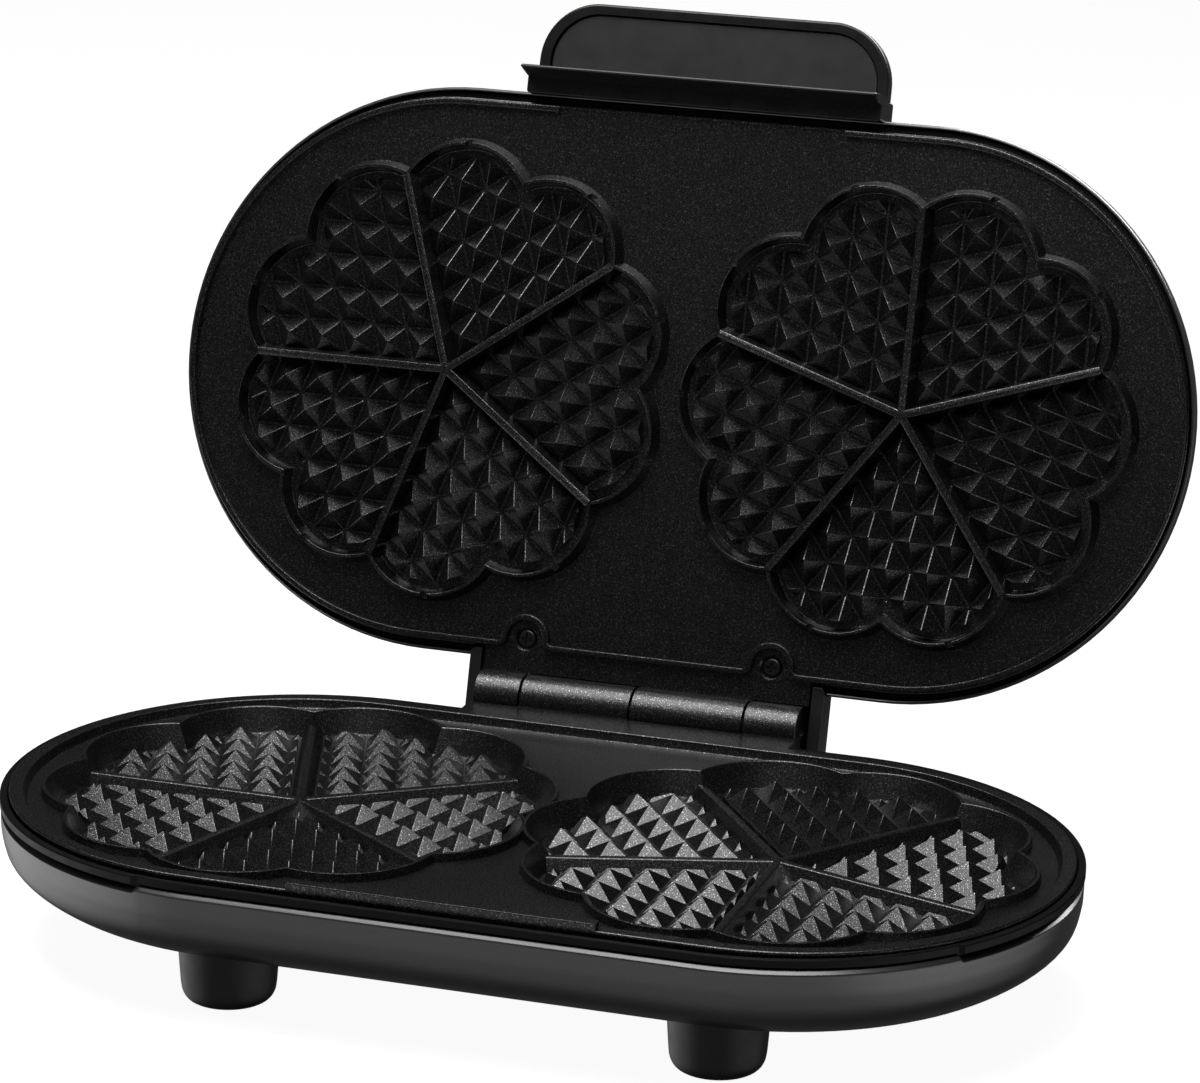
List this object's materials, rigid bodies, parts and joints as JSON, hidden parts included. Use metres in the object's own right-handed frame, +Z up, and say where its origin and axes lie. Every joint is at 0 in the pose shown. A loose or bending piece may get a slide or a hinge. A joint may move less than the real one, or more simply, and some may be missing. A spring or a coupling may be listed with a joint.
{
  "type": "waffle maker",
  "caption": "Electric waffle maker for heart-shaped waffles, with a hinged lid, facing non-stick moulds, an oval dark grey housing, a front lid handle and feet.",
  "frame": {"origin": "on the bench, at the centre of the open machine's footprint, on the left-right centre plane", "axes": "+Z up, +X along the long side to the user's right, -Y towards the user, so the hinge is on the +Y side of the moulds"},
  "size_m": [0.3808, 0.3035, 0.2969],
  "materials": {
    "nonstick_casting": "cast aluminium with a fine sparkling dark non-stick coating",
    "grey_shell": "smooth dark grey metallic satin",
    "black_plastic": "fine matt grain",
    "black_gloss": "satin",
    "foot_rubber": "satin",
    "zinc_steel": "zinc plated",
    "reflector_sheet": "rolled sheet",
    "heater_sheath": "heat tinted tube",
    "red_lens": "clear red",
    "green_lens": "clear green",
    "circuit_board": "board with two lamps",
    "ceramic": "unglazed ceramic and phenolic"
  },
  "bodies": {
    "base": {"base_shell": "grey_shell", "base_ring": "black_plastic", "lower_plate": "nonstick_casting", "lower_reflector": "reflector_sheet", "lower_element": "heater_sheath", "lower_thermostat": "ceramic", "thermal_fuse": "zinc_steel", "terminal_block": "ceramic", "cord_gland": "black_plastic", "lid_stop": "black_plastic", "lower_plate_screw_rear_left": "zinc_steel", "lower_plate_screw_rear_right": "zinc_steel", "lower_plate_screw_front": "zinc_steel", "foot_front_left": "foot_rubber", "foot_front_right": "foot_rubber", "foot_rear_left": "foot_rubber", "foot_rear_right": "foot_rubber", "foot_screw_front_left": "zinc_steel", "foot_screw_front_right": "zinc_steel", "foot_screw_rear_left": "zinc_steel", "foot_screw_rear_right": "zinc_steel", "hinge_pin": "zinc_steel"},
    "lid": {"upper_plate": "nonstick_casting", "lid_shell": "grey_shell", "lid_ring": "black_plastic", "hinge_cover": "black_plastic", "upper_reflector": "reflector_sheet", "upper_element": "heater_sheath", "upper_thermostat": "ceramic", "lid_plate_screw_left": "zinc_steel", "lid_plate_screw_right": "zinc_steel", "handle": "black_plastic", "handle_cover": "black_gloss", "handle_screw_left": "zinc_steel", "handle_screw_right": "zinc_steel", "power_lens": "red_lens", "ready_lens": "green_lens", "lamp_board": "circuit_board"}
  },
  "joints": [
    {"name": "lid_hinge", "type": "hinge", "parent": "base", "child": "lid", "pos_m": [0, 0.0671, 0.0544], "axis": [1, 0, 0], "range_deg": [0, 105.8]}
  ]
}
